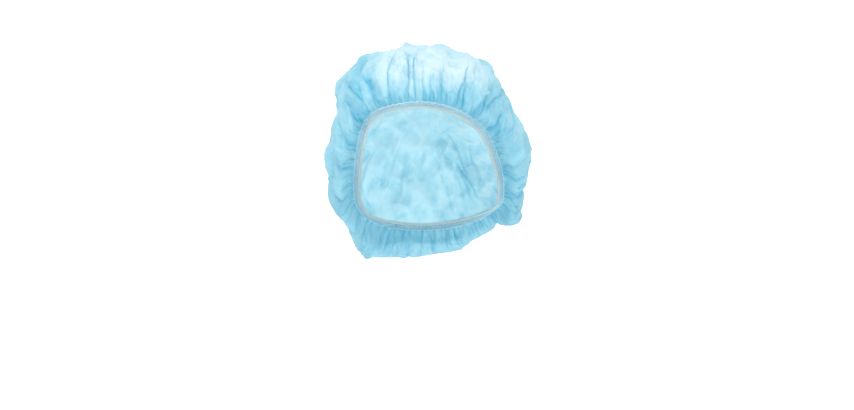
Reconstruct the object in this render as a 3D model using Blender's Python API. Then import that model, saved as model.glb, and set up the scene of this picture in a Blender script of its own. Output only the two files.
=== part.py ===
"""Disposable gathered cap, in the form it takes on a wearer.

One round piece of thin non-woven cloth is gathered into a narrow hem that an elastic runs along.
The origin is where the top of the wearer's head sits, under the loose crown. The front looks
along -Y, +X is the wearer's left and +Z is up. Metres.
"""

import math
from collections import namedtuple

import bmesh
import bpy
import numpy as np

# The worn cap, measured from the top of the wearer's head
CAP_HALF_WIDTH = 0.1080  # middle to the widest puff on either side
CAP_RISE = 0.0110  # highest fold above the head
CAP_DROP = 0.2180  # lowest fold below the top of the head
WIDEST_BACK = 0.0300  # how far behind the origin the bag is widest
BULGE_FRONT = 0.1170  # from the widest section to the front of the bag
BULGE_BACK = 0.0940  # from the widest section to the back of the bag
BAG_LEAN = 0.30  # how far the bag leans back for each length down
SQUARENESS = 2.4  # exponent of the bag's sections: 2 is an ellipse

# The loop that the elastic follows, round the forehead, before the ears and under the nape
RIM_HALF_WIDTH = 0.0775
RIM_FRONT = 0.0870
RIM_BACK = 0.0700
RIM_FOREHEAD_DROP = 0.0600
RIM_NAPE_DROP = 0.1790

# Cloth, hem and elastic
WALL = 0.0011
CLEARANCE = 0.0003  # between two pieces that bear on each other
ELASTIC_WIDTH = 0.0032
ELASTIC_THICKNESS = 0.0011
HEM_LEAF = 0.0008  # each of the two leaves that fold over the crown's edge
HEM_FOLD = 0.0012  # cloth between the elastic and the crown's edge
HEM_GRIP = 0.0026  # how far the leaves reach over the crown
FLAT_PAST_HEM = 0.0010  # cloth beyond the leaves before the gathers begin
SIDE_SWEEP = 1.3  # how strongly the hem turns back at the sides of the loop
SWEEP_JOIN = 0.0190  # length in which the cloth turns from the hem's direction to the bag's

# Gathers that rise out of the hem, and the broad folds that they run into
GATHERS = 48
GATHER_HEIGHT = 0.0034
GATHER_RISE = 0.0080  # distance from the hem in which a gather reaches its full height
GATHER_FADE = 0.0750  # distance from the hem at which the longest gather has opened out
FOLD_HEIGHT = 0.0075
OUTLINE_FOLD_REACH = 0.0500  # how far a fold of the outline carries from the widest section
OUTLINE_SOFTENING = 14  # degrees over which the outline's folds are evened out elsewhere
PUFF_LENGTH = 0.0200  # least distance in which the cloth swells from the hem to the bag's surface
PUFF_SLOPE = 0.6  # further distance for each length that it swells
SAG_SLOPE = 0.68  # how far the cloth rolls over the hem for each length that it swells
SAG_SHARE = 0.12  # how far along the cloth that roll is at its most
DISC_CENTRE_SHARE = (0.0, 0.90, 0.46)  # where the middle of the cloth lies, as shares from the hub

# Steps of the mesh. The columns are halved past the fine rows and again near the middle.
COLUMNS_AT_HEM = 4 * GATHERS
FINE_ROWS = 3
GATHERED_ROWS = 7
BAG_ROWS = 9
MIDDLE_ROWS = 2
FRAME_SOFTENING = 5  # columns either side over which the hem's direction is evened out

# Rows of the rim's loop, clockwise from the forehead as the wearer's face is seen.
# side is a share of the half width, depth runs from 0 in front to 1 at the back,
# and height from 0 at the nape to 1 at the forehead.
RimRow = namedtuple("RimRow", "side depth height")
RIM = (
    RimRow(-0.08, 0.000, 1.00),
    RimRow(0.30, 0.040, 0.955),
    RimRow(0.55, 0.110, 0.87),
    RimRow(0.71, 0.180, 0.775),
    RimRow(0.83, 0.280, 0.62),
    RimRow(0.93, 0.415, 0.44),
    RimRow(0.96, 0.530, 0.29),
    RimRow(0.94, 0.640, 0.18),
    RimRow(0.78, 0.800, 0.11),
    RimRow(0.46, 0.950, 0.04),
    RimRow(0.00, 1.000, 0.00),
    RimRow(-0.46, 0.950, 0.02),
    RimRow(-0.76, 0.800, 0.08),
    RimRow(-0.88, 0.650, 0.17),
    RimRow(-0.91, 0.530, 0.31),
    RimRow(-0.89, 0.410, 0.47),
    RimRow(-0.85, 0.300, 0.64),
    RimRow(-0.78, 0.220, 0.815),
    RimRow(-0.66, 0.150, 0.92),
    RimRow(-0.46, 0.085, 0.975),
)

# Crests and hollows of the outline seen from the front, clockwise from the top.
# across is a share of the half width and up a share of the half height.
Corner = namedtuple("Corner", "across up")
OUTLINE = (
    Corner(-0.20, 1.00),
    Corner(-0.09, 0.96),
    Corner(0.05, 0.95),
    Corner(0.15, 0.99),
    Corner(0.21, 0.93),
    Corner(0.38, 0.91),
    Corner(0.46, 0.85),
    Corner(0.58, 0.83),
    Corner(0.62, 0.74),
    Corner(0.71, 0.58),
    Corner(0.78, 0.51),
    Corner(0.81, 0.40),
    Corner(0.95, 0.22),
    Corner(1.00, 0.07),
    Corner(0.93, -0.34),
    Corner(0.93, -0.52),
    Corner(0.90, -0.65),
    Corner(0.67, -0.68),
    Corner(-0.46, -1.05),
    Corner(-0.66, -1.03),
    Corner(-0.72, -0.83),
    Corner(-0.75, -0.70),
    Corner(-0.86, -0.53),
    Corner(-0.96, -0.48),
    Corner(-0.98, -0.38),
    Corner(-0.84, -0.18),
    Corner(-1.00, -0.07),
    Corner(-0.98, 0.06),
    Corner(-0.87, 0.13),
    Corner(-0.91, 0.28),
    Corner(-0.82, 0.43),
    Corner(-0.85, 0.67),
    Corner(-0.69, 0.75),
    Corner(-0.61, 0.90),
    Corner(-0.39, 0.91),
    Corner(-0.27, 0.93),
)

# Broad folds. turn is in degrees round the rim, clockwise from the forehead, and spread is a fold's
# half width there. rise is a share of FOLD_HEIGHT, and a hollow is negative. near and far are shares
# of the way from the hem to the middle of the cloth.
Fold = namedtuple("Fold", "turn spread rise near far")
FOLDS = (
    Fold(6, 5, 0.55, 0.05, 0.55),
    Fold(17, 4, -0.45, 0.05, 0.45),
    Fold(27, 5, 0.70, 0.08, 0.60),
    Fold(40, 6, -0.55, 0.05, 0.50),
    Fold(53, 6, 0.75, 0.10, 0.65),
    Fold(68, 7, -0.60, 0.08, 0.60),
    Fold(84, 7, 0.80, 0.12, 0.75),
    Fold(101, 8, -0.70, 0.10, 0.70),
    Fold(119, 8, 0.90, 0.15, 0.80),
    Fold(138, 8, -0.75, 0.15, 0.75),
    Fold(156, 8, 0.80, 0.20, 0.85),
    Fold(175, 9, -0.80, 0.20, 0.80),
    Fold(194, 8, 1.00, 0.20, 0.85),
    Fold(212, 8, -0.75, 0.15, 0.80),
    Fold(230, 8, 0.90, 0.12, 0.80),
    Fold(247, 7, -0.80, 0.10, 0.65),
    Fold(262, 7, 0.70, 0.10, 0.75),
    Fold(277, 6, -0.65, 0.08, 0.55),
    Fold(291, 6, 0.75, 0.08, 0.65),
    Fold(305, 6, -0.60, 0.05, 0.50),
    Fold(318, 5, 0.70, 0.06, 0.60),
    Fold(330, 4, -0.50, 0.05, 0.45),
    Fold(341, 5, 0.60, 0.05, 0.55),
    Fold(352, 4, -0.50, 0.05, 0.45),
)

# How tall and how long one gather is beside the next, repeated round the rim
GATHER_MIX = (1.00, 0.70, 0.90, 0.60, 0.85, 1.00, 0.65, 0.80)

CLOTH_BLUE = (0.36, 0.74, 0.90, 1.0)
HEM_BLUE = (0.30, 0.68, 0.87, 1.0)
ELASTIC_WHITE = (0.80, 0.84, 0.83, 1.0)


def unit(vectors):
    """The vectors at length one."""
    return vectors / np.linalg.norm(vectors, axis=-1, keepdims=True)


def smooth_step(value):
    """0 below 0, 1 above 1, and an S between them."""
    held = np.clip(value, 0.0, 1.0)
    return held * held * (3.0 - 2.0 * held)


def hub():
    """The middle of the bag's widest section, from which its surface is measured."""
    return np.array([0.0, WIDEST_BACK, (CAP_RISE - CAP_DROP) / 2])


def closed_curve(points, per_span=16):
    """A smooth closed curve through the points, as a dense polyline (Catmull-Rom)."""
    spans = []
    share = np.linspace(0.0, 1.0, per_span, endpoint=False)[:, None]
    for index in range(len(points)):
        before, start, end, after = (points[(index + k) % len(points)] for k in (-1, 0, 1, 2))
        spans.append(
            0.5
            * (
                2 * start
                + (end - before) * share
                + (2 * before - 5 * start + 4 * end - after) * share**2
                + (3 * start - before - 3 * end + after) * share**3
            )
        )
    return np.concatenate(spans)


def evenly_round(loop, count):
    """The closed loop again, with that many points an even distance apart."""
    closed = np.vstack([loop, loop[:1]])
    along = np.concatenate([[0.0], np.cumsum(np.linalg.norm(np.diff(closed, axis=0), axis=1))])
    wanted = np.linspace(0.0, along[-1], count, endpoint=False)
    return np.stack([np.interp(wanted, along, closed[:, axis]) for axis in range(3)], axis=1)


def rim_loop():
    """The elastic's centre line, a point for each column of the crown."""
    points = np.array(
        [
            (
                row.side * RIM_HALF_WIDTH,
                -RIM_FRONT + row.depth * (RIM_FRONT + RIM_BACK),
                -RIM_NAPE_DROP + row.height * (RIM_NAPE_DROP - RIM_FOREHEAD_DROP),
            )
            for row in RIM
        ]
    )
    return evenly_round(closed_curve(points), COLUMNS_AT_HEM)


def outline_table():
    """Angles clockwise from the top and reaches of the front outline, sorted by angle."""
    half_height = (CAP_RISE + CAP_DROP) / 2
    across = np.array([corner.across * CAP_HALF_WIDTH for corner in OUTLINE])
    up = np.array([corner.up * half_height for corner in OUTLINE])
    angle = np.arctan2(across, up) % (2 * math.pi)
    order = np.argsort(angle)
    return angle[order], np.hypot(across, up)[order]


def softened(angle, reach, width):
    """The outline without its small folds: each reach is a mean over that angle either side."""
    offsets = np.linspace(-2.0, 2.0, 17) * width
    weights = np.exp(-((offsets / width) ** 2))
    around = angle[..., None] + offsets
    values = np.interp(around, *reach, period=2 * math.pi)
    return (values * weights).sum(-1) / weights.sum()


def lean(points, sense=1.0):
    """Leans upright points back as they go down, as the bag does. A sense of -1 takes it out again."""
    leaned = points.copy()
    leaned[..., 1] += sense * BAG_LEAN * (hub()[2] - points[..., 2])
    return leaned


def bag_reach(direction):
    """Distance from the hub to the upright bag's surface along each direction, without small folds."""
    sideways = np.hypot(direction[..., 0], direction[..., 2])
    angle = np.arctan2(direction[..., 0], direction[..., 2])
    radial = softened(angle, outline_table(), math.radians(OUTLINE_SOFTENING))
    depth = np.where(direction[..., 1] < 0, BULGE_FRONT, BULGE_BACK)
    rounded = (sideways / radial) ** SQUARENESS + (np.abs(direction[..., 1]) / depth) ** SQUARENESS
    return rounded ** (-1 / SQUARENESS)


def broad_folds(lengths):
    """How far the broad folds of the table stand out along each path."""
    turns = np.arange(len(lengths)) * 360.0 / len(lengths)
    shares = lengths / lengths[:, -1:]
    offsets = np.zeros(lengths.shape)
    for fold in FOLDS:
        beside = (turns - fold.turn + 180.0) % 360.0 - 180.0
        across = np.exp(-((beside / fold.spread) ** 2))[:, None]
        middle, half = (fold.near + fold.far) / 2, (fold.far - fold.near) / 2
        lengthwise = np.clip(1.0 - ((shares - middle) / half) ** 2, 0.0, 1.0) ** 1.5
        offsets += FOLD_HEIGHT * fold.rise * across * lengthwise
    return offsets


def fold_heights(direction, lengths):
    """How far each path stands out from the soft bag. The widest section has the outline's folds."""
    table = outline_table()
    columns = np.arange(len(direction))
    widest = np.abs(direction[..., 1]).argmin(axis=1)
    there = direction[columns, widest]
    angle = np.arctan2(there[:, 0], there[:, 2])
    sharp = np.interp(angle, *table, period=2 * math.pi)
    height = sharp - softened(angle, table, math.radians(OUTLINE_SOFTENING))
    nearness = np.exp(-(((lengths - lengths[columns, widest][:, None]) / OUTLINE_FOLD_REACH) ** 2))
    broad = broad_folds(lengths) * (1.0 - nearness)
    return (height[:, None] * nearness + broad) * smooth_step(lengths / PUFF_LENGTH)


def disc_centre_direction():
    """Direction from the hub to where the middle of the round cloth lies, high at the back."""
    half_height = (CAP_RISE + CAP_DROP) / 2
    sizes = np.array([CAP_HALF_WIDTH, BULGE_BACK, half_height])
    return unit(np.array(DISC_CENTRE_SHARE) * sizes)


def cloth_paths(rim, steps=160):
    """For each rim point, the path of the cloth from the elastic to the middle of the disc."""
    centre = hub()
    upright = lean(rim, -1.0)
    start = unit(upright - centre)
    start_reach = np.linalg.norm(upright - centre, axis=1)
    pole = disc_centre_direction()
    swing = np.arccos(np.clip(start @ pole, -1.0, 1.0))
    share = np.linspace(0.0, 1.0, steps)[None, :]
    rolled = (share / SAG_SHARE * np.exp(1.0 - share / SAG_SHARE)) ** 2
    sag = SAG_SLOPE * (bag_reach(start) - start_reach) / start_reach
    turned = swing[:, None] * share - sag[:, None] * rolled
    toward = unit(pole[None, :] - (start @ pole)[:, None] * start)
    direction = (
        np.cos(turned)[..., None] * start[:, None, :] + np.sin(turned)[..., None] * toward[:, None, :]
    )
    surface = bag_reach(direction)
    gap = (surface[:, 0] - start_reach)[:, None]
    travelled = swing[:, None] * share * start_reach[:, None]
    settled = travelled / (PUFF_LENGTH + PUFF_SLOPE * np.abs(gap))
    swelling = (1.0 - np.clip(settled, 0.0, 1.0)) ** 2
    paths = lean(centre + direction * (surface - gap * swelling)[..., None])
    return paths + direction * fold_heights(direction, path_lengths(paths))[..., None]


def path_lengths(paths):
    """Distance along each path from the elastic's centre line."""
    steps = np.linalg.norm(np.diff(paths, axis=1), axis=2)
    return np.concatenate([np.zeros((len(paths), 1)), np.cumsum(steps, axis=1)], axis=1)


def points_at(paths, lengths, wanted):
    """The point of each path at its own wanted distance."""
    return np.array(
        [
            [np.interp(wanted[column], lengths[column], paths[column, :, axis]) for axis in range(3)]
            for column in range(len(paths))
        ]
    )


def hem_frames(rim, paths, lengths, reach):
    """At each rim point the direction in which the cloth leaves the elastic, and its outward normal."""
    along = unit(np.roll(rim, -1, axis=0) - np.roll(rim, 1, axis=0))
    leaving = unit(points_at(paths, lengths, np.full(len(rim), reach)) - rim)
    beside = range(-FRAME_SOFTENING, FRAME_SOFTENING + 1)
    leaving = sum(np.roll(leaving, shift, axis=0) for shift in beside)
    leaving = unit(leaving - (leaving * along).sum(1, keepdims=True) * along)
    back = np.cross(along, (1.0, 0.0, 0.0))
    back = back * np.sign(back[:, 1:2])
    sideways = (rim[:, :1] / RIM_HALF_WIDTH) ** 2
    leaving = unit(leaving + SIDE_SWEEP * sideways * back)
    outward = unit(np.cross(leaving, along))
    side = np.sign(((rim - hub()) * outward).sum(1))
    flip = 1.0 if np.median(side) > 0 else -1.0
    return leaving, outward * flip


def gather_offsets(columns, distances):
    """How far the gathers stand out at each column and row, for distances from the hem."""
    step = np.arange(columns) * GATHERS * 2 // columns
    crest = np.where(step % 2 == 0, 1.0, -1.0)
    mix = np.array(GATHER_MIX)[step // 2 % len(GATHER_MIX)]
    opening = smooth_step(distances / (GATHER_FADE * mix[:, None]))
    rising = smooth_step(distances / GATHER_RISE) * (1.0 - opening)
    return GATHER_HEIGHT * (crest * mix)[:, None] * rising


def row_distances(lengths, first, last):
    """Each row's distance from the elastic's centre line, for each column."""
    total = lengths[:, -1:]
    near = last + (GATHER_FADE - last) * np.linspace(0.0, 1.0, GATHERED_ROWS + 1)[1:] ** 1.35
    near = np.broadcast_to(near, (len(total), GATHERED_ROWS))
    shares = np.linspace(0.0, 1.0, BAG_ROWS + MIDDLE_ROWS + 1)[1:-1]
    far = GATHER_FADE + (total - GATHER_FADE) * shares
    edge = np.tile([first, last], (len(total), 1))
    return np.concatenate([edge, near, far], axis=1)


def grid_normals(grid, inside):
    """Outward normals of a grid of points that closes round its columns."""
    round_it = np.roll(grid, -1, axis=0) - np.roll(grid, 1, axis=0)
    outward = unit(np.cross(round_it, np.gradient(grid, axis=1)))
    facing = ((grid - inside) * outward).sum(-1)
    return outward * np.where(np.median(facing) > 0, 1.0, -1.0)


def straightened(row):
    """The row with every second point midway between its neighbours, as the hem's facets run."""
    evened = row.copy()
    evened[1::2] = (row[::2] + np.roll(row[::2], -1, axis=0)) / 2
    return evened


def joined_row(rim, leaving, paths, lengths, distances, free):
    """One row of the cloth, turned from the hem's direction near the hem to the bag's surface."""
    join = smooth_step((distances - free) / SWEEP_JOIN)[:, None]
    straight = rim + leaving * distances[:, None]
    return straight * (1.0 - join) + points_at(paths, lengths, distances) * join


def crown_rows(rim, paths, lengths, frames):
    """The cloth's middle surface as rows of points from the hem to near the disc's middle, and that point."""
    leaving, _ = frames
    edge = ELASTIC_WIDTH / 2 + CLEARANCE + HEM_FOLD + CLEARANCE
    free = edge - CLEARANCE + HEM_GRIP + FLAT_PAST_HEM
    distances = row_distances(lengths, edge, free)
    columns = [
        joined_row(rim, leaving, paths, lengths, distances[:, row], free)
        for row in range(2, distances.shape[1])
    ]
    held = [straightened(rim + leaving * distance) for distance in (edge, free)]
    grid = np.stack(held + columns, axis=1)
    offsets = gather_offsets(len(rim), np.clip(distances - free, 0.0, None))
    grid = grid + grid_normals(grid, hub()) * offsets[..., None]
    middle = paths[:, -1].mean(0)
    rows = [grid[:, row] for row in range(grid.shape[1])]
    halved = 2 + FINE_ROWS
    thinned = rows[:halved] + [row[::2] for row in rows[halved:-MIDDLE_ROWS]]
    return thinned + [row[::4] for row in rows[-MIDDLE_ROWS:]], middle


def rows_to_mesh(name, rows, middle):
    """A sheet through the rows. A row may have half the points of the one before it."""
    starts = np.concatenate([[0], np.cumsum([len(row) for row in rows])])
    faces = []
    for index in range(len(rows) - 1):
        here, there = starts[index], starts[index + 1]
        count, beyond = len(rows[index]), len(rows[index + 1])
        for step in range(beyond):
            after = (step + 1) % beyond
            if count == beyond:
                faces.append((here + step, here + after, there + after, there + step))
                continue
            first, second, third = here + 2 * step, here + 2 * step + 1, here + (2 * step + 2) % count
            faces.append((first, second, there + step))
            faces.append((second, there + after, there + step))
            faces.append((second, third, there + after))
    last, count = starts[-2], len(rows[-1])
    faces += [(last + step, last + (step + 1) % count, starts[-1]) for step in range(count)]
    points = np.vstack([*rows, middle[None, :]])
    mesh = bpy.data.meshes.new(name)
    mesh.from_pydata([tuple(point) for point in points], [], [tuple(map(int, face)) for face in faces])
    mesh.update()
    return mesh


def swept_ring(name, rim, frames, section):
    """A closed ring whose section is drawn in (distance toward the crown, distance outward)."""
    leaving, outward = frames
    count, corners = len(rim), len(section)
    points = [rim + leaving * toward + outward * out for toward, out in section]
    points = np.stack(points, axis=1).reshape(-1, 3)
    faces = []
    for step in range(count):
        after = (step + 1) % count
        for corner in range(corners):
            beside = (corner + 1) % corners
            faces.append(
                (
                    step * corners + corner,
                    step * corners + beside,
                    after * corners + beside,
                    after * corners + corner,
                )
            )
    mesh = bpy.data.meshes.new(name)
    mesh.from_pydata([tuple(point) for point in points], [], faces)
    mesh.update()
    return mesh


def material(name, colour, roughness):
    """A plain non-metallic surface."""
    made = bpy.data.materials.new(name)
    made.use_nodes = True
    surface = made.node_tree.nodes["Principled BSDF"]
    surface.inputs["Base Color"].default_value = colour
    surface.inputs["Roughness"].default_value = roughness
    surface.inputs["Metallic"].default_value = 0.0
    return made


def add_object(mesh, finish):
    """Puts the mesh in the scene under its own name."""
    made = bpy.data.objects.new(mesh.name, mesh)
    bpy.context.scene.collection.objects.link(made)
    mesh.materials.append(finish)
    mesh.shade_smooth()
    return made


def turn_outward(mesh):
    """Turns a closed mesh's faces to point out of it."""
    work = bmesh.new()
    work.from_mesh(mesh)
    bmesh.ops.recalc_face_normals(work, faces=work.faces)
    work.to_mesh(mesh)
    work.free()


def make_crown(rim, paths, lengths, frames):
    """The gathered cloth, hollow, with its edge in the hem's fold."""
    rows, middle = crown_rows(rim, paths, lengths, frames)
    crown = add_object(rows_to_mesh("crown", rows, middle), material("cloth", CLOTH_BLUE, 0.75))
    wall = crown.modifiers.new("wall", "SOLIDIFY")
    wall.thickness = WALL
    wall.offset = 0.0
    wall.use_even_offset = True
    wall.use_rim = True
    return crown


def make_hem(rim, frames):
    """The folded hem: two leaves over the crown's edge, joined beside the elastic."""
    slot = WALL / 2 + CLEARANCE
    outside = slot + HEM_LEAF
    bottom = ELASTIC_WIDTH / 2 + CLEARANCE
    floor = bottom + HEM_FOLD
    lip = floor + CLEARANCE + HEM_GRIP
    section = (
        (bottom, -outside),
        (bottom, outside),
        (lip, outside),
        (lip, slot),
        (floor, slot),
        (floor, -slot),
        (lip, -slot),
        (lip, -outside),
    )
    mesh = swept_ring("hem", rim, frames, section)
    turn_outward(mesh)
    return add_object(mesh, material("hem cloth", HEM_BLUE, 0.7))


def make_elastic(rim, frames):
    """The flat elastic along the hem's open side."""
    half_width, half_thickness = ELASTIC_WIDTH / 2, ELASTIC_THICKNESS / 2
    section = (
        (-half_width, -half_thickness),
        (-half_width, half_thickness),
        (half_width, half_thickness),
        (half_width, -half_thickness),
    )
    mesh = swept_ring("elastic", rim, frames, section)
    turn_outward(mesh)
    return add_object(mesh, material("elastic", ELASTIC_WHITE, 0.6))


def clear_scene():
    for thing in list(bpy.data.objects):
        bpy.data.objects.remove(thing)


def main():
    clear_scene()
    rim = rim_loop()
    paths = cloth_paths(rim)
    lengths = path_lengths(paths)
    hem_top = ELASTIC_WIDTH / 2 + 2 * CLEARANCE + HEM_FOLD + HEM_GRIP
    frames = hem_frames(rim, paths, lengths, hem_top)
    make_crown(rim, paths, lengths, frames)
    every_other = slice(None, None, 2)
    ring = rim[every_other], tuple(part[every_other] for part in frames)
    make_hem(*ring)
    make_elastic(*ring)


main()
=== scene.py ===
import math
import random

import bpy
import numpy as np
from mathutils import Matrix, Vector, noise


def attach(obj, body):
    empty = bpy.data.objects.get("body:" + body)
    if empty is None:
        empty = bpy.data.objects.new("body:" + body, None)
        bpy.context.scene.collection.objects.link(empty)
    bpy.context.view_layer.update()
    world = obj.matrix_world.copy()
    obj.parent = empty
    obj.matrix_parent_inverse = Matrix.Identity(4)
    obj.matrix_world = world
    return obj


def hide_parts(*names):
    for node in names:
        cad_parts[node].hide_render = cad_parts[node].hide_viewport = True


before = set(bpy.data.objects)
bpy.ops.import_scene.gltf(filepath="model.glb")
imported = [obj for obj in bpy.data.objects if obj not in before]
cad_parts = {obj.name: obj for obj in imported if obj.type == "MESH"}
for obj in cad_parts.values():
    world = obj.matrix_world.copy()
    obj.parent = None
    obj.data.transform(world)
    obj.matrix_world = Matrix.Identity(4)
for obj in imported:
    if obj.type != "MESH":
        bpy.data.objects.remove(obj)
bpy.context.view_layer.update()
print("frame loaded:", sorted(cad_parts))

turn = 2 * math.pi

# the worn cap, with the same sizes as the solids it dresses, in metres
capShape = {
    "halfWidth": 0.1080,
    "rise": 0.0110,
    "drop": 0.2180,
    "widestBack": 0.0300,
    "bulgeFront": 0.1170,
    "bulgeBack": 0.0940,
    "lean": 0.30,
    "squareness": 2.4,
    "discCentre": (0.0, 0.90, 0.46),
    "puffLength": 0.0200,
    "puffSlope": 0.6,
    "sagSlope": 0.68,
    "sagShare": 0.12,
    "foldHeight": 0.0075,
    "outlineFoldReach": 0.0500,
    "outlineSoftening": 14.0,
    # crests and hollows of the front outline, clockwise from the top,
    # as shares of half the width and half the height
    "outline": (
        (-0.20, 1.00), (-0.09, 0.96), (0.05, 0.95), (0.15, 0.99), (0.21, 0.93), (0.38, 0.91),
        (0.46, 0.85), (0.58, 0.83), (0.62, 0.74), (0.71, 0.58), (0.78, 0.51), (0.81, 0.40),
        (0.95, 0.22), (1.00, 0.07), (0.93, -0.34), (0.93, -0.52), (0.90, -0.65), (0.67, -0.68),
        (-0.46, -1.05), (-0.66, -1.03), (-0.72, -0.83), (-0.75, -0.70), (-0.86, -0.53),
        (-0.96, -0.48), (-0.98, -0.38), (-0.84, -0.18), (-1.00, -0.07), (-0.98, 0.06),
        (-0.87, 0.13), (-0.91, 0.28), (-0.82, 0.43), (-0.85, 0.67), (-0.69, 0.75),
        (-0.61, 0.90), (-0.39, 0.91), (-0.27, 0.93),
    ),
    # turn round the rim and half width in degrees, height, and where it starts and ends
    "broadFolds": (
        (6, 5, 0.55, 0.05, 0.55), (17, 4, -0.45, 0.05, 0.45), (27, 5, 0.70, 0.08, 0.60),
        (40, 6, -0.55, 0.05, 0.50), (53, 6, 0.75, 0.10, 0.65), (68, 7, -0.60, 0.08, 0.60),
        (84, 7, 0.80, 0.12, 0.75), (101, 8, -0.70, 0.10, 0.70), (119, 8, 0.90, 0.15, 0.80),
        (138, 8, -0.75, 0.15, 0.75), (156, 8, 0.80, 0.20, 0.85), (175, 9, -0.80, 0.20, 0.80),
        (194, 8, 1.00, 0.20, 0.85), (212, 8, -0.75, 0.15, 0.80), (230, 8, 0.90, 0.12, 0.80),
        (247, 7, -0.80, 0.10, 0.65), (262, 7, 0.70, 0.10, 0.75), (277, 6, -0.65, 0.08, 0.55),
        (291, 6, 0.75, 0.08, 0.65), (305, 6, -0.60, 0.05, 0.50), (318, 5, 0.70, 0.06, 0.60),
        (330, 4, -0.50, 0.05, 0.45), (341, 5, 0.60, 0.05, 0.55), (352, 4, -0.50, 0.05, 0.45),
    ),
}

rimShape = {
    "halfWidth": 0.0775,
    "front": 0.0870,
    "back": 0.0700,
    "frontDrop": 0.0600,
    "napeDrop": 0.1790,
    "sideSweep": 1.3,  # how strongly the hem turns back at the sides
    "sweepJoin": 0.0190,  # length in which the cloth turns from the hem to the bag
    "leavingReach": 0.0073,  # how far along the cloth its way out of the hem is read
    # side, depth and height of the loop, as shares, clockwise from the front's middle
    "rows": (
        (-0.08, 0.000, 1.00), (0.30, 0.040, 0.955), (0.55, 0.110, 0.87), (0.71, 0.180, 0.775),
        (0.83, 0.280, 0.62), (0.93, 0.415, 0.44), (0.96, 0.530, 0.29), (0.94, 0.640, 0.18),
        (0.78, 0.800, 0.11), (0.46, 0.950, 0.04), (0.00, 1.000, 0.00), (-0.46, 0.950, 0.02),
        (-0.76, 0.800, 0.08), (-0.88, 0.650, 0.17), (-0.91, 0.530, 0.31), (-0.89, 0.410, 0.47),
        (-0.85, 0.300, 0.64), (-0.78, 0.220, 0.815), (-0.66, 0.150, 0.92), (-0.46, 0.085, 0.975),
    ),
}


def unit(vectors):
    return vectors / np.linalg.norm(vectors, axis=-1, keepdims=True)


def smoothStep(value):
    held = np.clip(value, 0.0, 1.0)
    return held * held * (3.0 - 2.0 * held)


halfHeight = (capShape["rise"] + capShape["drop"]) / 2
hub = np.array([0.0, capShape["widestBack"], (capShape["rise"] - capShape["drop"]) / 2])


def closedCurve(points, perSpan=40):
    spans = []
    share = np.linspace(0.0, 1.0, perSpan, endpoint=False)[:, None]
    for index in range(len(points)):
        before, start, end, after = (points[(index + k) % len(points)] for k in (-1, 0, 1, 2))
        spans.append(
            0.5
            * (
                2 * start
                + (end - before) * share
                + (2 * before - 5 * start + 4 * end - after) * share**2
                + (3 * start - before - 3 * end + after) * share**3
            )
        )
    return np.concatenate(spans)


def evenlyRound(loop, count):
    closed = np.vstack([loop, loop[:1]])
    along = np.concatenate([[0.0], np.cumsum(np.linalg.norm(np.diff(closed, axis=0), axis=1))])
    wanted = np.linspace(0.0, along[-1], count, endpoint=False)
    return np.stack([np.interp(wanted, along, closed[:, axis]) for axis in range(3)], axis=1)


def rimLoop(count):
    deep = rimShape["front"] + rimShape["back"]
    high = rimShape["napeDrop"] - rimShape["frontDrop"]
    side, depth, height = np.array(rimShape["rows"]).T
    places = (
        side * rimShape["halfWidth"],
        depth * deep - rimShape["front"],
        height * high - rimShape["napeDrop"],
    )
    return evenlyRound(closedCurve(np.stack(places, axis=1)), count)


def outlineTable():
    shares = np.array(capShape["outline"])
    across, up = shares[:, 0] * capShape["halfWidth"], shares[:, 1] * halfHeight
    angle = np.arctan2(across, up) % turn
    order = np.argsort(angle)
    return angle[order], np.hypot(across, up)[order]


outline = outlineTable()


def softened(angle, width):
    offsets = np.linspace(-2.0, 2.0, 17) * width
    weights = np.exp(-((offsets / width) ** 2))
    values = np.interp(angle[..., None] + offsets, *outline, period=turn)
    return (values * weights).sum(-1) / weights.sum()


def lean(points, sense=1.0):
    leaned = points.copy()
    leaned[..., 1] += sense * capShape["lean"] * (hub[2] - points[..., 2])
    return leaned


def bagReach(direction):
    sideways = np.hypot(direction[..., 0], direction[..., 2])
    angle = np.arctan2(direction[..., 0], direction[..., 2])
    radial = softened(angle, math.radians(capShape["outlineSoftening"]))
    depth = np.where(direction[..., 1] < 0, capShape["bulgeFront"], capShape["bulgeBack"])
    power = capShape["squareness"]
    rounded = (sideways / radial) ** power + (np.abs(direction[..., 1]) / depth) ** power
    return rounded ** (-1 / power)


def pathLengths(paths):
    steps = np.linalg.norm(np.diff(paths, axis=1), axis=2)
    return np.concatenate([np.zeros((len(paths), 1)), np.cumsum(steps, axis=1)], axis=1)


def broadFolds(lengths):
    turns = np.arange(len(lengths)) * 360.0 / len(lengths)
    shares = lengths / lengths[:, -1:]
    offsets = np.zeros(lengths.shape)
    for where, spread, height, near, far in capShape["broadFolds"]:
        beside = (turns - where + 180.0) % 360.0 - 180.0
        across = np.exp(-((beside / spread) ** 2))[:, None]
        middle, half = (near + far) / 2, (far - near) / 2
        lengthwise = np.clip(1.0 - ((shares - middle) / half) ** 2, 0.0, 1.0) ** 1.5
        offsets += capShape["foldHeight"] * height * across * lengthwise
    return offsets


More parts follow.
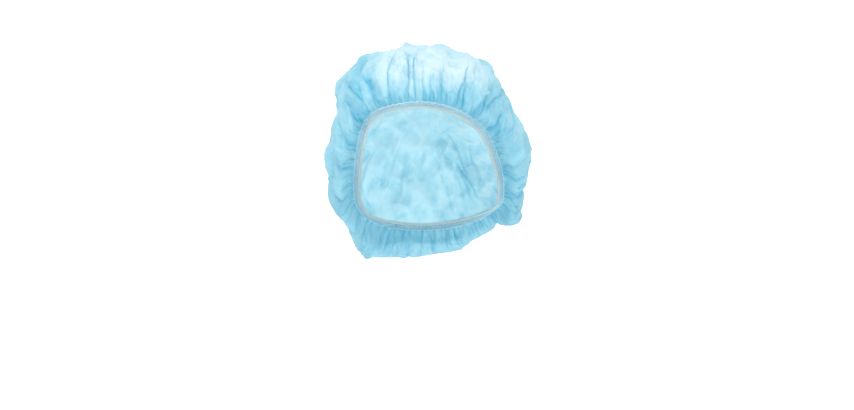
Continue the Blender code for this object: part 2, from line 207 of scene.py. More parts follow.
def clothPaths(rim, steps=160):
    upright = lean(rim, -1.0)
    start = unit(upright - hub)
    startReach = np.linalg.norm(upright - hub, axis=1)
    halfSizes = (capShape["halfWidth"], capShape["bulgeBack"], halfHeight)
    pole = unit(np.array(capShape["discCentre"]) * halfSizes)
    swing = np.arccos(np.clip(start @ pole, -1.0, 1.0))
    share = np.linspace(0.0, 1.0, steps)[None, :]
    rolled = (share / capShape["sagShare"] * np.exp(1.0 - share / capShape["sagShare"])) ** 2
    sag = capShape["sagSlope"] * (bagReach(start) - startReach) / startReach
    turned = swing[:, None] * share - sag[:, None] * rolled
    toward = unit(pole[None, :] - (start @ pole)[:, None] * start)
    direction = np.cos(turned)[..., None] * start[:, None, :]
    direction = direction + np.sin(turned)[..., None] * toward[:, None, :]
    surface = bagReach(direction)
    gap = (surface[:, 0] - startReach)[:, None]
    travelled = swing[:, None] * share * startReach[:, None]
    settled = travelled / (capShape["puffLength"] + capShape["puffSlope"] * np.abs(gap))
    swelling = (1.0 - np.clip(settled, 0.0, 1.0)) ** 2
    paths = lean(hub + direction * (surface - gap * swelling)[..., None])
    lengths = pathLengths(paths)
    columns = np.arange(len(direction))
    widest = np.abs(direction[..., 1]).argmin(axis=1)
    there = direction[columns, widest]
    angle = np.arctan2(there[:, 0], there[:, 2])
    softness = math.radians(capShape["outlineSoftening"])
    crest = np.interp(angle, *outline, period=turn) - softened(angle, softness)
    beside = lengths - lengths[columns, widest][:, None]
    near = np.exp(-((beside / capShape["outlineFoldReach"]) ** 2))
    folds = crest[:, None] * near + broadFolds(lengths) * (1.0 - near)
    return paths + direction * (folds * smoothStep(lengths / capShape["puffLength"]))[..., None]


def pointsAt(paths, lengths, wanted):
    found = np.empty((len(paths), wanted.shape[1], 3))
    for column in range(len(paths)):
        for axis in range(3):
            curve = paths[column, :, axis]
            found[column, :, axis] = np.interp(wanted[column], lengths[column], curve)
    return found


def hemFrames(rim, paths, lengths, softening):
    along = unit(np.roll(rim, -1, axis=0) - np.roll(rim, 1, axis=0))
    reach = np.full((len(rim), 1), rimShape["leavingReach"])
    leaving = unit(pointsAt(paths, lengths, reach)[:, 0] - rim)
    leaving = sum(np.roll(leaving, shift, axis=0) for shift in range(-softening, softening + 1))
    leaving = unit(leaving - (leaving * along).sum(1, keepdims=True) * along)
    back = np.cross(along, (1.0, 0.0, 0.0))
    back = back * np.sign(back[:, 1:2])
    sideways = (rim[:, :1] / rimShape["halfWidth"]) ** 2
    leaving = unit(leaving + rimShape["sideSweep"] * sideways * back)
    outward = unit(np.cross(leaving, along))
    if np.median(((rim - hub) * outward).sum(1)) < 0:
        outward = -outward
    return leaving, outward


def gridNormals(grid):
    roundIt = np.roll(grid, -1, axis=0) - np.roll(grid, 1, axis=0)
    outward = np.cross(roundIt, np.gradient(grid, axis=1))
    outward /= np.maximum(np.linalg.norm(outward, axis=-1, keepdims=True), 1e-12)
    facing = ((grid - hub) * outward).sum(-1)
    return outward * (1.0 if np.median(facing) > 0 else -1.0)


def meshObject(name, points, faces):
    mesh = bpy.data.meshes.new(name)
    mesh.from_pydata([tuple(point) for point in points], [], faces)
    mesh.update()
    made = bpy.data.objects.new(name, mesh)
    bpy.context.scene.collection.objects.link(made)
    mesh.shade_smooth()
    return made


class Wire:
    # one socket, with the sums that are used on it
    def __init__(self, tree, socket):
        self.tree = tree
        self.socket = socket

    def node(self, kind, settings=None, **inputs):
        # sockets go by name, or by number as i0, i1
        made = self.tree.nodes.new(kind)
        for key, value in (settings or {}).items():
            setattr(made, key, value)
        for key, value in inputs.items():
            numbered = key[0] == "i" and key[1:].isdigit()
            socket = made.inputs[int(key[1:]) if numbered else key.replace("_", " ")]
            if isinstance(value, Wire):
                self.tree.links.new(value.socket, socket)
            else:
                socket.default_value = value
        return made

    def math(self, operation, first, second=0.0):
        made = self.node("ShaderNodeMath", {"operation": operation}, i0=first, i1=second)
        return Wire(self.tree, made.outputs[0])

    def __add__(self, other):
        return self.math("ADD", self, other)

    def __radd__(self, other):
        return self.math("ADD", other, self)

    def __sub__(self, other):
        return self.math("SUBTRACT", self, other)

    def __rsub__(self, other):
        return self.math("SUBTRACT", other, self)

    def __mul__(self, other):
        return self.math("MULTIPLY", self, other)

    def __rmul__(self, other):
        return self.math("MULTIPLY", other, self)

    def clamped(self, low=0.0, high=1.0):
        return self.math("MINIMUM", self.math("MAXIMUM", self, low), high)

    def out(self, made, name=0):
        return Wire(self.tree, made.outputs[name])

    def mixColour(self, share, first, second):
        made = self.node("ShaderNodeMix", {"data_type": "RGBA"}, i0=share, i6=first, i7=second)
        return Wire(self.tree, made.outputs[2])

    def noise(self, place, scale, detail=2.0, roughness=0.5):
        made = self.node("ShaderNodeTexNoise", None, Vector=place, Scale=scale, Detail=detail)
        made.inputs["Roughness"].default_value = roughness
        return self.out(made, "Fac")

    def vector(self, operation, **inputs):
        return self.out(self.node("ShaderNodeVectorMath", {"operation": operation}, **inputs))

    def voronoi(self, place, scale, feature):
        settings = {"voronoi_dimensions": "2D", "feature": feature}
        made = self.node("ShaderNodeTexVoronoi", settings, Vector=place, Scale=scale)
        return self.out(made, "Distance")

    def patches(self, place, scale):
        settings = {"voronoi_dimensions": "2D"}
        made = self.node("ShaderNodeTexVoronoi", settings, Vector=place, Scale=scale)
        parts = self.node("ShaderNodeSeparateXYZ", None, Vector=self.out(made, "Color"))
        return self.out(parts)

    def warped(self, place, scale, reach):
        made = self.node("ShaderNodeTexNoise", None, Vector=place, Scale=scale, Detail=1.0)
        moved = self.vector("SUBTRACT", i0=self.out(made, "Color"), i1=(0.5, 0.5, 0.5))
        return self.vector("ADD", i0=place, i1=self.vector("SCALE", i0=moved, Scale=reach))

    def bump(self, height, strength, distance, **inputs):
        made = self.node("ShaderNodeBump", None, Height=height, **inputs)
        made.inputs["Strength"].default_value = strength
        made.inputs["Distance"].default_value = distance
        return self.out(made)

    def stretched(self, place, scale, location=(0.0, 0.0, 0.0)):
        made = self.node("ShaderNodeMapping", None, Vector=place, Scale=scale, Location=location)
        return self.out(made)


def newMaterial(name):
    made = bpy.data.materials.new(name)
    made.use_nodes = True
    tree = made.node_tree
    tree.nodes.clear()
    output = tree.nodes.new("ShaderNodeOutputMaterial")
    start = Wire(tree, None)
    return made, start, output


clothLook = {
    "thin": (0.44, 0.70, 0.775),  # one layer, light side
    "dense": (0.135, 0.475, 0.635),  # where the fibres lie thicker, and the colour of painted shade
    "paintedLight": (0.78, 0.85, 0.865),  # painted light: the front puff's colour as if lit through from behind
    "glow": (0.42, 0.72, 0.81),  # light that comes through
    "seeThrough": 0.09,
    "glowShare": 0.50,
    "cloudScale": 190.0,
    "fibreScale": 900.0,
    "pointPitch": 0.0016,  # the pressed points of spun-bonded cloth
    "crumpleScale": 36.0,
    "streaks": 34.0,
    "roughness": 0.60,
    "sheen": 0.25,
    "facetBump": (0.70, 0.0045),  # strength and depth
    "grainBump": (0.35, 0.0004),
    # how much each pattern thickens the cloth, or paints shade and light on it (crease lines,
    # ridges, fold hollows, front puff), and what is taken off in the end
    "densityAndPaintedLight": {
        "cloud": 0.75, "broad": 0.25, "fibres": 0.60, "layersAndFoldShade": 0.48, "creaseShade": 0.30,
        "ridgeHighlight": -0.26, "streak": 0.19, "patches": 0.38, "paintedLight": -0.34, "offset": 0.83,
    },
}


def clothMaterial(name, deeper=0.0, seeThrough=None, gathered=1.0):
    c, weight = clothLook, clothLook["densityAndPaintedLight"]
    made, w, output = newMaterial(name)
    flat = w.out(w.node("ShaderNodeUVMap", {"uv_map": "flat"}))
    # fibres, clouds and pressed points of the cloth
    cloud = w.noise(flat, c["cloudScale"], 3.0, 0.62)
    broad = w.noise(flat, c["cloudScale"] / 6, 2.0, 0.5)
    fibreA = w.noise(w.stretched(flat, (1.0, 0.12, 1.0)), c["fibreScale"], 2.0, 0.6)
    turned = w.stretched(flat, (0.12, 1.0, 1.0), (3.1, 1.7, 0.0))
    fibreB = w.noise(turned, c["fibreScale"], 2.0, 0.6)
    fibres = (fibreA + fibreB) * 0.5
    pitch = turn / c["pointPitch"]
    axes = w.node("ShaderNodeSeparateXYZ", None, Vector=flat)
    across, along = w.out(axes, 0), w.out(axes, 1)
    diagonalA = w.math("SINE", (across + along) * (pitch * 0.7))
    diagonalB = w.math("SINE", (across - along) * (pitch * 0.7))
    points = (diagonalA * diagonalB * 2.0 - 1.0).clamped()
    # creases where the cloth was packed, as facets, with painted shade along the lines between them
    pulled = w.warped(flat, 26.0, 0.016)
    facets = w.voronoi(pulled, c["crumpleScale"], "F1")
    smaller = w.voronoi(pulled, c["crumpleScale"] * 2.3, "F1")
    edges = w.voronoi(pulled, c["crumpleScale"], "DISTANCE_TO_EDGE")
    patches = w.patches(pulled, c["crumpleScale"] * 1.2)
    # painted shade along the crease lines
    creaseShade = (1.0 - edges * 16.0).clamped() * ((broad - 0.42) * 5.0).clamped()
    # painted highlight along the finer ridges
    finer = w.warped(flat, 40.0, 0.010)
    fineEdges = w.voronoi(finer, c["crumpleScale"] * 1.7, "DISTANCE_TO_EDGE")
    ridgeHighlight = (1.0 - fineEdges * 22.0).clamped() * ((0.54 - broad) * 7.0).clamped()
    # fine gathers that run in from the cut edge
    outward = w.vector("NORMALIZE", i0=flat)
    radius = w.out(w.node("ShaderNodeVectorMath", {"operation": "LENGTH"}, i0=flat), 1)
    parts = w.node("ShaderNodeSeparateXYZ", None, Vector=outward)
    spoke = w.node(
        "ShaderNodeCombineXYZ", None,
        X=w.out(parts, 0) * c["streaks"], Y=w.out(parts, 1) * c["streaks"], Z=radius * 16.0,
    )
    lines = w.noise(w.out(spoke), 1.0, 2.0, 0.5)
    nearHem = ((radius - 0.150) * 10.0).clamped() * gathered
    streak = (1.0 - w.math("ABSOLUTE", lines - 0.5) * 13.0).clamped() * nearHem
    # layers of cloth over each other, with painted shade in fold hollows and painted highlight on
    # their crests
    layersAndFoldShade = w.out(w.node("ShaderNodeAttribute", {"attribute_name": "layersAndFoldShade"}), "Fac")
    # painted light on the front puff, kept on the mesh
    paintedLight = w.out(w.node("ShaderNodeAttribute", {"attribute_name": "paintedLight"}), "Fac")
    # thickness of the cloth, with painted shade and painted light mixed in
    densityAndPaintedLight = cloud * weight["cloud"] + broad * weight["broad"] + fibres * weight["fibres"]
    densityAndPaintedLight = densityAndPaintedLight - weight["offset"] + layersAndFoldShade * weight["layersAndFoldShade"] + creaseShade * weight["creaseShade"]
    densityAndPaintedLight = densityAndPaintedLight + ridgeHighlight * weight["ridgeHighlight"] + streak * weight["streak"]
    densityAndPaintedLight = densityAndPaintedLight + patches * weight["patches"] + paintedLight * weight["paintedLight"]
    densityAndPaintedLight = (densityAndPaintedLight + deeper).clamped()
    if not gathered:  # the hem shows the gathers it holds
        gathers = w.noise(w.stretched(flat, (1.0, 0.06, 1.0)), 200.0, 2.0, 0.6)
        densityAndPaintedLight = (densityAndPaintedLight + (gathers - 0.5) * 1.1).clamped()
    # the painted light pales the surface and glow colours of the front puff
    paintedLightColour, denseColour = (*c["paintedLight"], 1.0), (*c["dense"], 1.0)
    thin = w.mixColour(paintedLight * 0.85, (*c["thin"], 1.0), paintedLightColour)
    colour = w.mixColour(densityAndPaintedLight, thin, denseColour)
    glow = w.mixColour(paintedLight * 0.75, (*c["glow"], 1.0), paintedLightColour)
    glowColour = w.mixColour(densityAndPaintedLight, glow, denseColour)
    folds = facets * 0.60 + smaller * 0.26 + streak * 0.10
    bent = w.bump(folds, *c["facetBump"])
    grain = fibres * 0.7 + cloud * 0.5 - points * 0.35
    bump = w.bump(grain, *c["grainBump"], Normal=bent)
    surface = w.node("ShaderNodeBsdfPrincipled", None, Base_Color=colour, Normal=bump)
    surface.inputs["Roughness"].default_value = c["roughness"]
    surface.inputs["Specular IOR Level"].default_value = 0.30
    surface.inputs["Sheen Weight"].default_value = c["sheen"]
    surface.inputs["Sheen Roughness"].default_value = 0.5
    through = w.node("ShaderNodeBsdfTranslucent", None, Color=glowColour, Normal=bump)
    solid = w.node("ShaderNodeMixShader", None, i1=w.out(surface), i2=w.out(through))
    solid.inputs[0].default_value = c["glowShare"]
    hole = w.node("ShaderNodeBsdfTransparent", None, Color=(0.72, 0.92, 0.97, 1.0))
    see = c["seeThrough"] if seeThrough is None else seeThrough
    # less see-through under the painted light of the front puff
    share = (see + (0.4 - densityAndPaintedLight) * 0.16 - paintedLight * 0.10).clamped(0.02, 0.5)
    cloth = w.node("ShaderNodeMixShader", None, i0=share, i1=w.out(solid), i2=w.out(hole))
    w.tree.links.new(cloth.outputs[0], output.inputs[0])
    return made


crownCloth = {
    "columns": 800,
    "rows": 121,
    "edge": 0.0034,  # from the elastic's middle to the cloth's cut edge, inside the hem
    "free": 0.0058,  # where the cloth leaves the hem
    "cut": 0.255,  # radius of the round piece before it was gathered
    # lengths in metres, slants in turns of the loop for each metre
    "pleats": {
        "count": 122, "stray": 0.38, "shortest": 0.011, "longer": 0.070, "slant": 0.10,
        "width": (0.0010, 0.0023), "overlap": (0.8, 1.5), "depth": (0.0008, 0.0022),
        "widening": 0.050,
    },
    "creases": {
        "count": 230, "reach": (0.020, 0.085), "slant": 0.55, "bend": 6.0,
        "width": (0.0018, 0.0050), "depth": (0.0008, 0.0030),
    },
    "crumple": 0.0108,
    "crumpleCells": ((0.042, 1.0, 0.0), (0.019, 0.55, 7.3)),  # size, share of height, shift
    "crumpleSink": 0.40,
    "outlineHold": (0.028, 0.65),  # reach, fore and aft, in which the outline is held, and how much
    # painted light: the front puff is made pale as if lit through from behind; its middle and half
    # width, where it ends behind and below, and how gently each edge fades
    "paintedLightPatch": {
        "side": 0.006, "halfWidth": 0.080, "sideFade": 0.042,
        "back": 0.012, "backFade": 0.090, "low": -0.054, "lowFade": 0.030,
    },
    # place round the loop, start, length, slant, bend, width and depth
    "frontFolds": (
        (-0.046, -0.004, 0.078, -0.32, 7.5, 0.0014, -0.0019),
        (-0.022, 0.010, 0.062, 0.30, -6.0, 0.0020, 0.0016),
        (-0.006, -0.004, 0.084, -0.18, 3.0, 0.0013, -0.0020),
        (0.012, -0.004, 0.042, 0.10, 0.0, 0.0024, -0.0010),
        (0.034, 0.006, 0.050, -0.15, 4.0, 0.0012, 0.0014),
        (0.054, -0.004, 0.076, 0.38, -2.0, 0.0015, -0.0019),
        (0.080, -0.004, 0.050, 0.75, 0.0, 0.0022, 0.0020),
        (0.104, 0.010, 0.060, 0.62, 2.0, 0.0013, 0.0017),
        (0.132, -0.004, 0.050, 0.40, 0.0, 0.0020, -0.0016),
        (-0.070, -0.004, 0.054, -0.55, 4.0, 0.0022, 0.0015),
        (-0.092, 0.004, 0.066, -0.42, -2.0, 0.0013, -0.0018),
        (-0.122, -0.004, 0.050, -0.30, 0.0, 0.0020, -0.0016),
    ),
    "tail": (-0.071, -0.198, 0.018),  # place across and up, and reach
    "tailPull": 0.0080,  # how far the low corner is drawn down
    "seed": 23,
}


def wrapped(value):
    return (value + 0.5) % 1.0 - 0.5


def besideLine(place, along, where, slant, bend):
    # how far round the loop each point lies from a slanting, bent line
    return wrapped(place - where - slant * along - bend * along**2)


def leaf(x):
    # cloth lying over cloth: sharp at its folded edge, thinning out behind it
    return smoothStep(x * 2.4 + 0.5) * np.exp(-np.clip(x, 0.0, None) / 2.2)


def crownGrid():
    c = crownCloth
    rim = rimLoop(c["columns"])
    paths = clothPaths(rim, 200)
    lengths = pathLengths(paths)
    leaving = hemFrames(rim, paths, lengths, 18)[0]
    total = lengths[:, -1:]
    spacing = np.linspace(0.0, 1.0, c["rows"]) ** 1.25
    distances = c["free"] + (total * 0.985 - c["free"]) * spacing[None, :]
    grid = pointsAt(paths, lengths, distances)
    # the cloth bunches smoothly where the bag hangs lowest
    across, up, reach = c["tail"]
    spread = ((grid[..., 0] - across) ** 2 + (grid[..., 2] - up) ** 2) / reach**2
    even = np.exp(-spread)[..., None]
    grid = grid * (1.0 - even) + blurred(grid, 16, 5) * even
    grid[..., 2] -= c["tailPull"] * np.sqrt(even[..., 0])
    # the first rows leave the hem straight and then join the bag
    straight = rim[:, None, :] + leaving[:, None, :] * distances[..., None]
    join = smoothStep((distances - c["free"]) / rimShape["sweepJoin"])[..., None]
    grid = straight * (1.0 - join) + grid * join
    return rim, leaving, distances, total, grid


def blurred(field, columns, rows):
    for shift in (columns, columns // 2, columns // 4):
        field = (np.roll(field, shift, axis=0) + np.roll(field, -shift, axis=0) + 2 * field) / 4
    for shift in (rows, rows // 2):
        padded = np.concatenate([field[:, :1]] * shift + [field] + [field[:, -1:]] * shift, axis=1)
        field = (padded[:, : field.shape[1]] + padded[:, 2 * shift :] + 2 * field) / 4
    return field


def foldedGrid(distances, grid):
    c = crownCloth
    dice = random.Random(c["seed"])
    soft = blurred(grid, 12, 4)
    normals = unit(blurred(gridNormals(soft), 12, 4))
    sideways = unit(np.roll(soft, -1, axis=0) - np.roll(soft, 1, axis=0))
    # length round each row
    ring = np.linalg.norm(np.roll(grid, -1, axis=0) - grid, axis=2).sum(0)[None, :]
    place = (np.arange(c["columns"]) / c["columns"])[:, None]
    past = distances - c["free"]
    out = np.zeros(past.shape)
    along = np.zeros(past.shape)
    layersAndFoldShade = np.zeros(past.shape)
    # knife pleats that rise from the hem and lay the cloth over itself
    p = c["pleats"]
    for number in range(p["count"]):
        where = (number + dice.uniform(-p["stray"], p["stray"])) / p["count"]
        reach = p["shortest"] + p["longer"] * dice.random() ** 3.0
        slant = dice.uniform(-p["slant"], p["slant"])
        width = dice.uniform(*p["width"])
        strength = dice.uniform(*p["overlap"]) * (0.8 + 4.0 * reach)
        side = dice.choice((-1.0, 1.0))
        depth = dice.uniform(*p["depth"])
        local = width * (1.0 + past / p["widening"])
        x = wrapped(place - where - slant * past) * ring / local
        fade = smoothStep((past + 0.002) / 0.006)
        fade = fade * (1.0 - smoothStep((past / reach - 0.25) / 0.75))
        bell = np.exp(-(x**2))
        along -= strength * local * x * bell * fade * 0.9
        out += depth * (-bell + 0.55 * side * x * bell) * fade
        layersAndFoldShade += leaf(side * x) * fade * (0.10 + 115.0 * depth)
    # gathered in many layers at the hem
    layersAndFoldShade += 0.55 * np.exp(-np.clip(past, 0.0, None) / 0.013)
    # the long folds that fan out from the front of the hem
    for where, begin, reach, slant, bend, width, depth in c["frontFolds"]:
        inside = (past - begin) / reach
        x = besideLine(place, past - begin, where, slant, bend) * ring / width
        fade = smoothStep(inside * 5.0) * (1.0 - smoothStep((inside - 0.7) / 0.3))
        bell = np.exp(-(x**2)) * np.where(x < 0, 0.6, 1.0)
        out += depth * (bell - 0.4 * np.exp(-((x - 1.4) ** 2))) * fade
        layersAndFoldShade += (0.95 * leaf(x / 2.4) + 0.4 * np.exp(-(x**2) * 2.5)) * fade
    # creases that wander over the bag
    k = c["creases"]
    for number in range(k["count"]):
        where = dice.random()
        begin = dice.uniform(-0.01, 0.13) if number % 3 else dice.uniform(0.10, 0.20)
        reach = dice.uniform(*k["reach"])
        slant = dice.gauss(0.0, k["slant"])
        bend = dice.uniform(-k["bend"], k["bend"])
        width = dice.uniform(*k["width"])
        depth = dice.uniform(*k["depth"]) * dice.choice((-1.0, -1.0, 1.0))
        inside = (past - begin) / reach
        x = besideLine(place, past - begin, where, slant, bend) * ring / width
        fade = smoothStep(inside * 4.0) * (1.0 - smoothStep((inside - 0.55) / 0.45))
        fade = fade * smoothStep(past / 0.008)
        out += depth * np.exp(-(np.abs(x) ** 1.1)) * fade
        layersAndFoldShade += leaf(x * dice.choice((-1.0, 1.0)) * 0.8) * fade * 130.0 * abs(depth)
    return normals, sideways, out, along, layersAndFoldShade, past


def crumpled(grid, past):
    # facets between ridges: distance to the nearest of scattered points, in two sizes
    c = crownCloth
    rise = np.zeros(past.shape)
    for cell, high, shift in c["crumpleCells"]:
        for column in range(past.shape[0]):
            for row in range(past.shape[1]):
                spot = Vector(grid[column, row] / cell) + Vector((shift, 0.0, 0.0))
                near = noise.voronoi(spot, distance_metric="DISTANCE")[0][0]
                rise[column, row] += high * (near**1.5 - c["crumpleSink"])
    # the front outline keeps the corners of the solid
    holdReach, holdShare = c["outlineHold"]
    beside = (lean(grid, -1.0)[..., 1] - hub[1]) / holdReach
    held = 1.0 - holdShare * np.exp(-(beside**2))
    return rise * held * c["crumple"] * smoothStep(past / 0.030)


def crown():
    c = crownCloth
    rim, leaving, distances, total, grid = crownGrid()
    normals, sideways, out, along, layersAndFoldShade, past = foldedGrid(distances, grid)
    place = (np.arange(c["columns"]) / c["columns"])[:, None]
    settle = 1.0 - smoothStep((distances / total - 0.70) / 0.30)
    out = out * settle + crumpled(grid, past)
    x, y, z = grid[..., 0], grid[..., 1], grid[..., 2]
    # painted shade in the fold hollows and painted highlight on their crests, added to the layers
    # of cloth
    foldShadeAndHighlight = np.clip((blurred(out, 8, 2) - out) / 0.0010, -1.0, 1.0)
    layersAndFoldShade = layersAndFoldShade * settle + 0.42 * foldShadeAndHighlight * smoothStep(past / 0.010)
    # painted light: the front puff is made pale as if lit through from behind
    t = c["paintedLightPatch"]
    paintedLight = smoothStep((t["halfWidth"] - np.abs(x - t["side"])) / t["sideFade"])
    paintedLight = paintedLight * smoothStep((t["back"] - y) / t["backFade"])
    paintedLight = paintedLight * smoothStep((z - t["low"]) / t["lowFade"])
    paintedLight = np.concatenate([paintedLight[:, :1], paintedLight], axis=1)
    grid = grid + normals * out[..., None] + sideways * along[..., None]
    edge = (rim + leaving * c["edge"])[:, None, :]
    grid = np.concatenate([edge, grid], axis=1)
    reached = np.concatenate([np.full((c["columns"], 1), c["edge"]), distances], axis=1)
    flatReach = c["cut"] * (1.0 - reached / total)
    columns, rows = grid.shape[:2]
    middle = grid[:, -1].mean(0)
    layersAndFoldShade = np.concatenate([layersAndFoldShade[:, :1], layersAndFoldShade], axis=1)
    points = np.vstack([grid.reshape(-1, 3), middle[None, :]])
    faces = []
    for column in range(columns):
        here, beside = column * rows, (column + 1) % columns * rows
        for row in range(rows - 1):
            faces.append((here + row, beside + row, beside + row + 1, here + row + 1))
        faces.append((here + rows - 1, beside + rows - 1, columns * rows))
    made = meshObject("crownCloth", points, faces)
    for label, values in (("layersAndFoldShade", layersAndFoldShade), ("paintedLight", paintedLight)):
        kept = made.data.attributes.new(label, "FLOAT", "POINT")
        kept.data.foreach_set("value", np.append(values.ravel(), 0.0).astype(np.float32))
    # the flat piece that the cloth was cut as, so that fibres follow the folds
    angle = place * turn
    flat = np.stack([np.cos(angle) * flatReach, np.sin(angle) * flatReach], axis=-1).reshape(-1, 2)
    flat = np.vstack([flat, [[0.0, 0.0]]])
    layer = made.data.uv_layers.new(name="flat")
    corners = np.empty(len(made.data.loops), dtype=np.int32)
    made.data.loops.foreach_get("vertex_index", corners)
    layer.data.foreach_set("uv", flat[corners].astype(np.float32).ravel())
    return made


def turnOutward(made):
    bpy.ops.object.select_all(action="DESELECT")
    made.select_set(True)
    bpy.context.view_layer.objects.active = made
    bpy.ops.object.mode_set(mode="EDIT")
    bpy.ops.mesh.select_all(action="SELECT")
    bpy.ops.mesh.normals_make_consistent(inside=False)
    bpy.ops.object.mode_set(mode="OBJECT")


crownPiece = crown()
bagCentre = Vector(hub)
outwards = [face.normal.dot(face.center - bagCentre) > 0 for face in crownPiece.data.polygons]
if 2 * sum(outwards) < len(outwards):
    crownPiece.data.flip_normals()
crownPiece.data.materials.append(clothMaterial("non-woven cloth"))
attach(crownPiece, "root")
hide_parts("crown")
print("crown cloth made:", len(crownPiece.data.polygons), "faces")


hemLook = {
    "columns": 1134,
    # where the hem begins and ends, from the elastic's middle
    "bottom": 0.0018,
    "lip": 0.0060,
    "half": 0.0010,
    "puckers": 189,
    "puckerHeight": 0.00045,
    "lipWander": 0.0004,
    "steps": 7,  # points across one leaf
    "patternRound": 1.24718,  # metres of the cloth's pattern that are laid round the hem
    "leafWidth": 0.0042,
}


def loopFrames(count, softening):
    rim = rimLoop(count)
    paths = clothPaths(rim, 60)
    lengths = pathLengths(paths)
    leaving, outward = hemFrames(rim, paths, lengths, softening)
    return rim, leaving, outward


def ringMesh(name, sections):
    # sections has the place of every corner, column by column
    columns, corners = sections.shape[:2]
    faces = []
    for column in range(columns):
        here, beside = column * corners, (column + 1) % columns * corners
        for corner in range(corners):
            after = (corner + 1) % corners
            faces.append((here + corner, here + after, beside + after, beside + corner))
    made = meshObject(name, sections.reshape(-1, 3), faces)
    turnOutward(made)
    return made


def loopUv(made, columns, corners, lengthRound, widths):
    layer = made.data.uv_layers.new(name="flat")
    index = np.empty(len(made.data.loops), dtype=np.int32)
    made.data.loops.foreach_get("vertex_index", index)
    column, corner = index // corners, index % corners
    u = column * (lengthRound / columns)
    v = np.asarray(widths)[corner]
    layer.data.foreach_set("uv", np.stack([u, v], axis=1).astype(np.float32).ravel())


def wandering(dice, phase, low, high, rounds):
    # an uneven wave of a few sines
    wave = 0.0
    for times in rounds:
        height = dice.uniform(low, high)
        wave = wave + height * np.sin(turn * (phase * times + dice.random()))
    return wave


def hem():
    h = hemLook
    rim, leaving, outward = loopFrames(h["columns"], 32)
    dice = random.Random(5)
    count = h["columns"]
    phase = np.arange(count) / count
    jitter = wandering(dice, phase, 0.2, 0.5, (23, 41, 67))
    pucker = np.sin(turn * phase * h["puckers"] + jitter * 2.0) * h["puckerHeight"]
    wander = wandering(dice, phase, 0.3, 0.6, (61, 97, 131)) * h["lipWander"]
    profile = [(share, 1.0) for share in np.linspace(0.0, 1.0, h["steps"])]
    profile += [(share, -1.0) for share in np.linspace(1.0, 0.0, h["steps"])]
    corners = []
    for share, side in profile:
        toward = h["bottom"] + (h["lip"] - h["bottom"]) * share + wander * share
        puff = 0.55 + 0.45 * math.sin(math.pi * min(max(share, 0.04), 0.96))
        out = side * h["half"] * puff + pucker * (0.35 + 0.65 * share)
        corners.append(rim + leaving * np.asarray(toward)[:, None] + outward * out[:, None])
    made = ringMesh("hemBand", np.stack(corners, axis=1))
    widths = [share * h["leafWidth"] + (0.0 if side > 0 else 0.01) for share, side in profile]
    loopUv(made, count, len(profile), h["patternRound"], widths)
    return made


elasticLook = {
    "columns": 1416,
    "sides": 12,
    "halfWidth": 0.0016,
    "halfThickness": 0.00052,
    "ribs": 354,
    "ribHeight": 0.00009,
    "round": 0.5568,  # length of its worn loop
}


def elastic():
    e = elasticLook
    rim, leaving, outward = loopFrames(e["columns"], 40)
    count = e["columns"]
    phase = np.arange(count) / count
    rib = 1.0 + np.cos(turn * phase * e["ribs"]) * e["ribHeight"] / e["halfThickness"]
    corners = []
    for number in range(e["sides"]):
        angle = turn * (number + 0.5) / e["sides"]
        flatness = abs(math.cos(angle)) ** 0.6 * math.copysign(1.0, math.cos(angle))
        thick = abs(math.sin(angle)) ** 0.45 * math.copysign(1.0, math.sin(angle))
        corners.append(
            rim
            + leaving * (flatness * e["halfWidth"])
            + outward * (thick * e["halfThickness"] * rib)[:, None]
        )
    made = ringMesh("elasticBand", np.stack(corners, axis=1))
    widths = [0.0003 * number for number in range(e["sides"])]
    loopUv(made, count, e["sides"], e["round"], widths)
    return made


threadLook = {
    "stitches": 354,
    "looperRadius": 0.000126,
    "needleRadius": 0.0002415,
    "sides": 5,
    "needle": 0.0061,  # where the needle thread runs, from the elastic's middle
    "overHem": 0.00128,  # how far out the threads lie, over the hem and over the elastic
    "overElastic": 0.00078,
    "edge": -0.00185,  # where the looper thread turns round the elastic
}


def tube(points, radius, sides):
    points = np.asarray(points)
    along = unit(np.roll(points, -1, axis=0) - np.roll(points, 1, axis=0))
    helper = unit(points - hub)
    first = unit(np.cross(along, helper))
    second = np.cross(along, first)
    ring = []
    for side in range(sides):
        angle = turn * side / sides
        ring.append(points + (first * math.cos(angle) + second * math.sin(angle)) * radius)
    return np.stack(ring, axis=1)


def threads():
    t = threadLook
    rim, leaving, outward = loopFrames(t["stitches"] * 8, 80)
    count = len(rim)
    dice = random.Random(11)
    # path of the looper thread: over the outside, round the edge and back inside, once a stitch
    route = (
        (0.00, t["needle"], t["overHem"] * 0.9),
        (0.12, 0.0040, t["overHem"] * 1.05),
        (0.24, 0.0022, t["overHem"]),
        (0.34, 0.0004, t["overElastic"]),
        (0.44, -0.0012, t["overElastic"]),
        (0.50, t["edge"], 0.0),
        (0.56, -0.0012, -t["overElastic"]),
        (0.68, 0.0004, -t["overElastic"]),
        (0.80, 0.0024, -t["overHem"]),
        (0.92, 0.0044, -t["overHem"]),
    )
    looper = []
    needle = []
    for stitch in range(t["stitches"]):
        wobble = dice.uniform(-0.06, 0.06)
        high = dice.uniform(-0.00035, 0.00035)
        for share, toward, out in route:
            at = int(round((stitch + share + wobble) * 8)) % count
            lifted = toward + (high if toward > 0.003 else 0.0)
            looper.append(rim[at] + leaving[at] * lifted + outward[at] * out)
        for share, lift in ((0.0, 0.0), (0.25, 0.00022), (0.5, 0.0003), (0.75, 0.00022)):
            at = int(round((stitch + share) * 8)) % count
            sway = t["needle"] + high + (0.00042 if stitch % 4 < 2 else -0.00042)
            above = t["overHem"] * 0.95 + lift
            needle.append(rim[at] + leaving[at] * sway + outward[at] * above)
    return (
        ringMesh("looperThread", tube(looper, t["looperRadius"], t["sides"])),
        ringMesh("needleThread", tube(needle, t["needleRadius"], t["sides"])),
    )


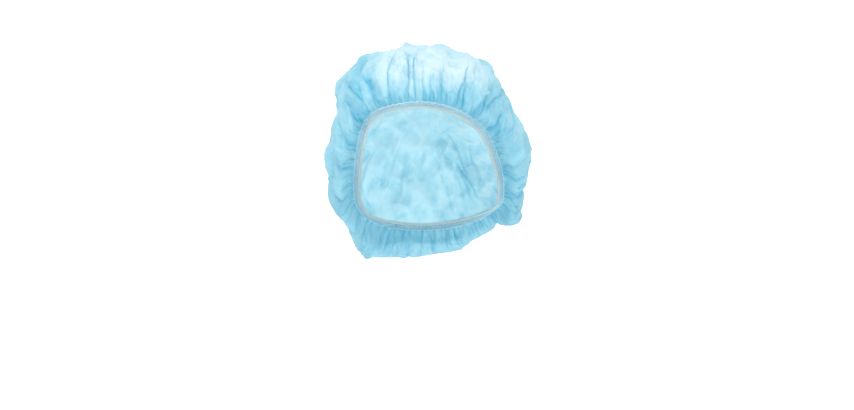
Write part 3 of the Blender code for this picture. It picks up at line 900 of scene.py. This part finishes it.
hemPiece = hem()
hemCloth = clothMaterial("hem cloth", deeper=0.01, seeThrough=0.05, gathered=0.0)
hemPiece.data.materials.append(hemCloth)
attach(hemPiece, "root")
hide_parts("hem")
elasticPiece = elastic()
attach(elasticPiece, "root")
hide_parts("elastic")
looperPiece, needlePiece = threads()
for piece in (looperPiece, needlePiece):
    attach(piece, "root")
print("hem, elastic and stitching made")


def threadMaterial(name, light, dark, roughness):
    made, w, output = newMaterial(name)
    place = w.out(w.node("ShaderNodeTexCoord"), "Object")
    fuzz = w.noise(place, 2600.0, 2.0, 0.6)
    broad = w.noise(place, 140.0, 2.0, 0.5)
    colour = w.mixColour((fuzz * 0.7 + broad * 0.5 - 0.1).clamped(), (*dark, 1.0), (*light, 1.0))
    bump = w.bump(fuzz, 0.4, 0.0001)
    surface = w.node("ShaderNodeBsdfPrincipled", None, Base_Color=colour, Normal=bump)
    surface.inputs["Roughness"].default_value = roughness
    surface.inputs["Sheen Weight"].default_value = 0.3
    w.tree.links.new(surface.outputs[0], output.inputs[0])
    return made


# the elastic's own pale grey, darkened further as painted shade
coveredElastic = threadMaterial("covered elastic", (0.40, 0.49, 0.50), (0.24, 0.33, 0.35), 0.6)
elasticPiece.data.materials.append(coveredElastic)
whiteThread = threadMaterial("white thread", (0.68, 0.84, 0.89), (0.44, 0.66, 0.73), 0.55)
for piece in (looperPiece, needlePiece):
    piece.data.materials.append(whiteThread)

studio = {"floor": -0.309, "front": -3.0, "back": 2.6, "bend": 1.0, "wide": 7.0, "high": 3.0}


def backdrop():
    s = studio
    bpy.ops.object.select_all(action="DESELECT")
    middle = (0.0, (s["back"] + s["front"]) / 2, s["floor"])
    bpy.ops.mesh.primitive_plane_add(size=2.0, location=middle)
    made = bpy.context.object
    made.name = "studioFloor"
    made.scale = (s["wide"], (s["back"] - s["front"]) / 2, 1.0)
    bpy.ops.object.transform_apply(location=True, rotation=False, scale=True)
    # the back edge is drawn up and the corner rounded into a sweep
    for vertex in made.data.vertices:
        vertex.select = vertex.co.y > s["back"] - 0.01
    for edge in made.data.edges:
        edge.select = all(made.data.vertices[end].select for end in edge.vertices)
    for face in made.data.polygons:
        face.select = False
    bpy.ops.object.mode_set(mode="EDIT")
    bpy.ops.mesh.extrude_region_move(TRANSFORM_OT_translate={"value": (0.0, 0.0, s["high"])})
    bpy.ops.object.mode_set(mode="OBJECT")
    corner = made.modifiers.new("sweep", "BEVEL")
    corner.width = s["bend"]
    corner.segments = 16
    bpy.ops.object.modifier_apply(modifier=corner.name)
    bpy.ops.object.shade_smooth()
    paper, w, output = newMaterial("studio paper")
    white = (0.95, 0.95, 0.95, 1.0)
    surface = w.node("ShaderNodeBsdfPrincipled", None, Base_Color=white, Roughness=0.9)
    surface.inputs["Emission Color"].default_value = (1.0, 1.0, 1.0, 1.0)
    surface.inputs["Emission Strength"].default_value = 0.42
    w.tree.links.new(surface.outputs[0], output.inputs[0])
    made.data.materials.append(paper)


def softLight(name, spot, aim, size, power):
    lamp = bpy.data.lights.new(name, "AREA")
    lamp.shape = "SQUARE"
    lamp.size = size
    lamp.energy = power
    made = bpy.data.objects.new(name, lamp)
    made.location = spot
    made.rotation_euler = (Vector(aim) - Vector(spot)).to_track_quat("-Z", "Y").to_euler()
    bpy.context.scene.collection.objects.link(made)


backdrop()
softLight("frontLight", (-0.55, -1.5, 1.7), (0.0, 0.0, -0.1), 0.55, 44.0)
softLight("fillLight", (0.9, -2.2, 0.3), (0.0, 0.0, -0.1), 1.2, 14.0)
softLight("backLight", (0.3, 1.5, 1.2), (0.0, 0.1, -0.05), 1.2, 4.0)
world = bpy.data.worlds.new("studio air")
world.use_nodes = True
air = world.node_tree.nodes["Background"]
air.inputs["Color"].default_value = (1.0, 1.0, 1.0, 1.0)
air.inputs["Strength"].default_value = 0.50
bpy.context.scene.world = world
bpy.context.scene.view_settings.view_transform = "Standard"

lens = bpy.data.cameras.new("photoCamera")
lens.lens = 81.06
lens.sensor_width = 36.0
camera = bpy.data.objects.new("photoCamera", lens)
camera.location = (0.0, -2.0, -0.158)
camera.rotation_euler = (math.pi / 2, 0.0, 0.0)
bpy.context.scene.collection.objects.link(camera)
bpy.context.scene.camera = camera
print("studio and camera set")
